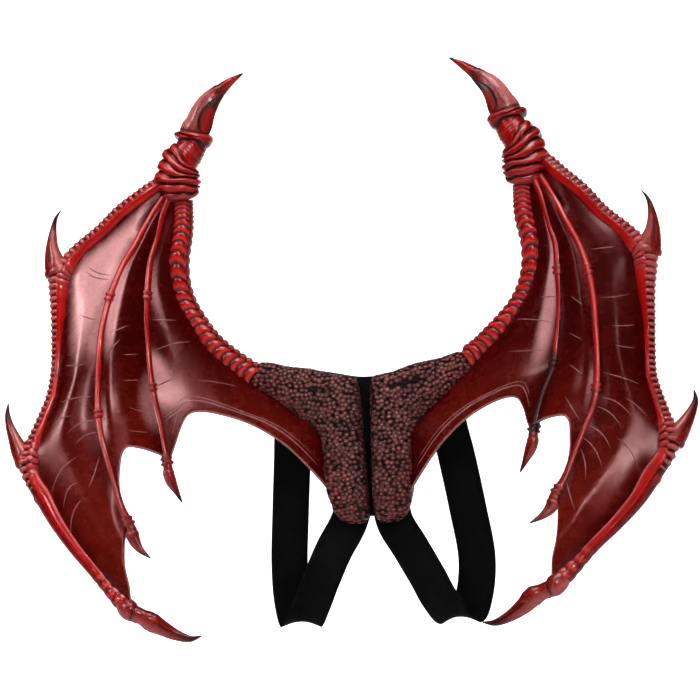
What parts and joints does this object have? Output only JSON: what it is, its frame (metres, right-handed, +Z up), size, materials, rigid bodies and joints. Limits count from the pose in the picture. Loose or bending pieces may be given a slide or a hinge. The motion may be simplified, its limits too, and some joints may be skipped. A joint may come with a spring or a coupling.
{
  "type": "costume dragon wings",
  "caption": "Pair of moulded foam dragon wings with ribbed arms, horns, clawed fingers and scalloped webs, on a back panel with elastic arm loops.",
  "frame": {"origin": "middle of the back panel's rear face, which lies against the wearer's back", "axes": "+Z up, +X to the right as seen from the decorated side, which faces -Y; the wearer stands at +Y"},
  "size_m": [0.6784, 0.2256, 0.5609],
  "materials": {
    "bone": "glossy red moulded foam with a dark wash in its creases",
    "web": "glossy dark red foam skin",
    "hide": "foam moulded as small scales, dark red over black",
    "claw": "glossy brown red foam that darkens to grey at the tips",
    "strap_fabric": "black woven elastic and fabric, matt"
  },
  "bodies": {
    "root": {"back_panel": "strap_fabric", "left_shoulder_block": "hide", "left_arm": "bone", "left_wrist": "bone", "left_horn": "claw", "left_leading_finger_upper": "bone", "left_leading_finger_middle": "bone", "left_leading_finger_lower": "bone", "left_upper_spike": "claw", "left_lower_spike": "claw", "left_leading_claw": "claw", "left_middle_finger": "bone", "left_middle_claw": "claw", "left_inner_finger": "bone", "left_inner_claw": "claw", "left_outer_web": "web", "left_middle_web": "web", "left_inner_web": "web", "left_strap": "strap_fabric", "right_shoulder_block": "hide", "right_arm": "bone", "right_wrist": "bone", "right_horn": "claw", "right_leading_finger_upper": "bone", "right_leading_finger_middle": "bone", "right_leading_finger_lower": "bone", "right_upper_spike": "claw", "right_lower_spike": "claw", "right_leading_claw": "claw", "right_middle_finger": "bone", "right_middle_claw": "claw", "right_inner_finger": "bone", "right_inner_claw": "claw", "right_outer_web": "web", "right_middle_web": "web", "right_inner_web": "web", "right_strap": "strap_fabric"}
  },
  "joints": []
}
